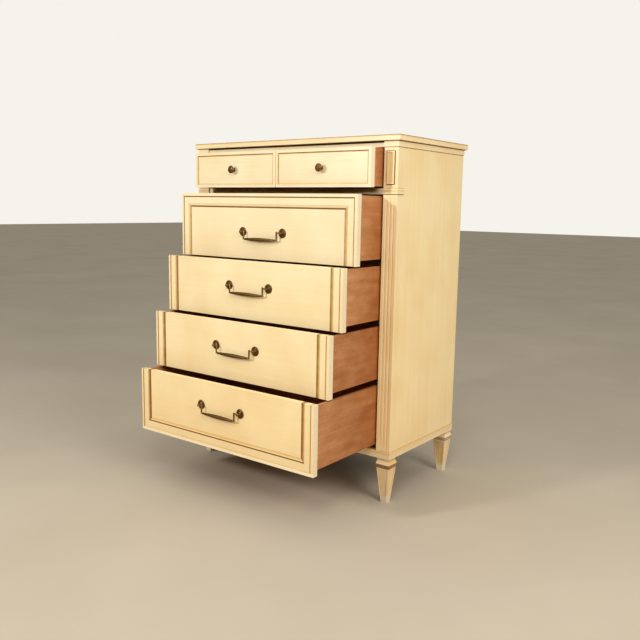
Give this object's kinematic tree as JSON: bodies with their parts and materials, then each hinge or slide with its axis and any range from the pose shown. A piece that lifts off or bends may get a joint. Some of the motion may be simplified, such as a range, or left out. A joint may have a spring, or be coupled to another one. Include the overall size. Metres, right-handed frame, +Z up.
{
  "type": "highboy chest of drawers",
  "caption": "Tall cream painted chest of drawers on square tapered legs, with fluted posts, framed drawer fronts and hanging brass bail pulls, its drawers drawn out like steps.",
  "frame": {"origin": "on the floor, below the middle of the box round the part with its drawers at rest", "axes": "+Z up, -Y out of the drawer fronts, +X to the right of someone facing the drawers"},
  "size_m": [0.968, 0.8714, 1.295],
  "materials": {
    "cream_lacquer": "cream lacquer with brown glaze in the lines, satin",
    "stained_wood": "reddish-brown stain, satin",
    "bare_wood": "plain wood, matt",
    "antique_brass": "antique brass, dark in the recesses"
  },
  "bodies": {
    "case": {"top_board": "cream_lacquer", "cornice_left": "cream_lacquer", "cornice_right": "cream_lacquer", "front_post_left": "cream_lacquer", "front_post_right": "cream_lacquer", "tablet_left": "cream_lacquer", "tablet_right": "cream_lacquer", "band_left": "cream_lacquer", "band_right": "cream_lacquer", "side_panel_left": "cream_lacquer", "side_panel_right": "cream_lacquer", "back_panel": "bare_wood", "top_rail": "cream_lacquer", "mid_rail": "cream_lacquer", "base_front": "cream_lacquer", "base_left": "cream_lacquer", "base_right": "cream_lacquer", "leg_front_left": "cream_lacquer", "leg_front_right": "cream_lacquer", "leg_rear_left": "cream_lacquer", "leg_rear_right": "cream_lacquer", "dust_frame_1": "bare_wood", "dust_frame_2": "bare_wood", "dust_frame_3": "bare_wood", "dust_frame_4": "bare_wood", "dust_frame_5": "bare_wood"},
    "drawer_1": {"drawer_1_front": "cream_lacquer", "drawer_1_side_left": "stained_wood", "drawer_1_side_right": "stained_wood", "drawer_1_back": "stained_wood", "drawer_1_bottom": "stained_wood", "drawer_1_knobs": "antique_brass"},
    "drawer_2": {"drawer_2_front": "cream_lacquer", "drawer_2_side_left": "stained_wood", "drawer_2_side_right": "stained_wood", "drawer_2_back": "stained_wood", "drawer_2_bottom": "stained_wood", "drawer_2_pull_posts": "antique_brass"},
    "drawer_3": {"drawer_3_front": "cream_lacquer", "drawer_3_side_left": "stained_wood", "drawer_3_side_right": "stained_wood", "drawer_3_back": "stained_wood", "drawer_3_bottom": "stained_wood", "drawer_3_pull_posts": "antique_brass"},
    "drawer_4": {"drawer_4_front": "cream_lacquer", "drawer_4_side_left": "stained_wood", "drawer_4_side_right": "stained_wood", "drawer_4_back": "stained_wood", "drawer_4_bottom": "stained_wood", "drawer_4_pull_posts": "antique_brass"},
    "drawer_5": {"drawer_5_front": "cream_lacquer", "drawer_5_side_left": "stained_wood", "drawer_5_side_right": "stained_wood", "drawer_5_back": "stained_wood", "drawer_5_bottom": "stained_wood", "drawer_5_pull_posts": "antique_brass"},
    "bail_2": {"drawer_2_bail": "antique_brass"},
    "bail_3": {"drawer_3_bail": "antique_brass"},
    "bail_4": {"drawer_4_bail": "antique_brass"},
    "bail_5": {"drawer_5_bail": "antique_brass"}
  },
  "joints": [
    {"name": "drawer_1_slide", "type": "slide", "parent": "case", "child": "drawer_1", "axis": [0, -1, 0], "range_m": [-0.0736, 0.3214]},
    {"name": "drawer_2_slide", "type": "slide", "parent": "case", "child": "drawer_2", "axis": [0, -1, 0], "range_m": [-0.1472, 0.2478]},
    {"name": "drawer_3_slide", "type": "slide", "parent": "case", "child": "drawer_3", "axis": [0, -1, 0], "range_m": [-0.2199, 0.1751]},
    {"name": "drawer_4_slide", "type": "slide", "parent": "case", "child": "drawer_4", "axis": [0, -1, 0], "range_m": [-0.2879, 0.1071]},
    {"name": "drawer_5_slide", "type": "slide", "parent": "case", "child": "drawer_5", "axis": [0, -1, 0], "range_m": [-0.3633, 0.0317]},
    {"name": "drawer_2_bail_hinge", "type": "hinge", "parent": "drawer_2", "child": "bail_2", "pos_m": [0, -0.2137, 0.957], "axis": [-1, 0, 0], "range_deg": [-15, 90]},
    {"name": "drawer_3_bail_hinge", "type": "hinge", "parent": "drawer_3", "child": "bail_3", "pos_m": [0, -0.2864, 0.7655], "axis": [-1, 0, 0], "range_deg": [-15, 90]},
    {"name": "drawer_4_bail_hinge", "type": "hinge", "parent": "drawer_4", "child": "bail_4", "pos_m": [0, -0.3544, 0.5535], "axis": [-1, 0, 0], "range_deg": [-15, 90]},
    {"name": "drawer_5_bail_hinge", "type": "hinge", "parent": "drawer_5", "child": "bail_5", "pos_m": [0, -0.4298, 0.3465], "axis": [-1, 0, 0], "range_deg": [-15, 90]}
  ]
}
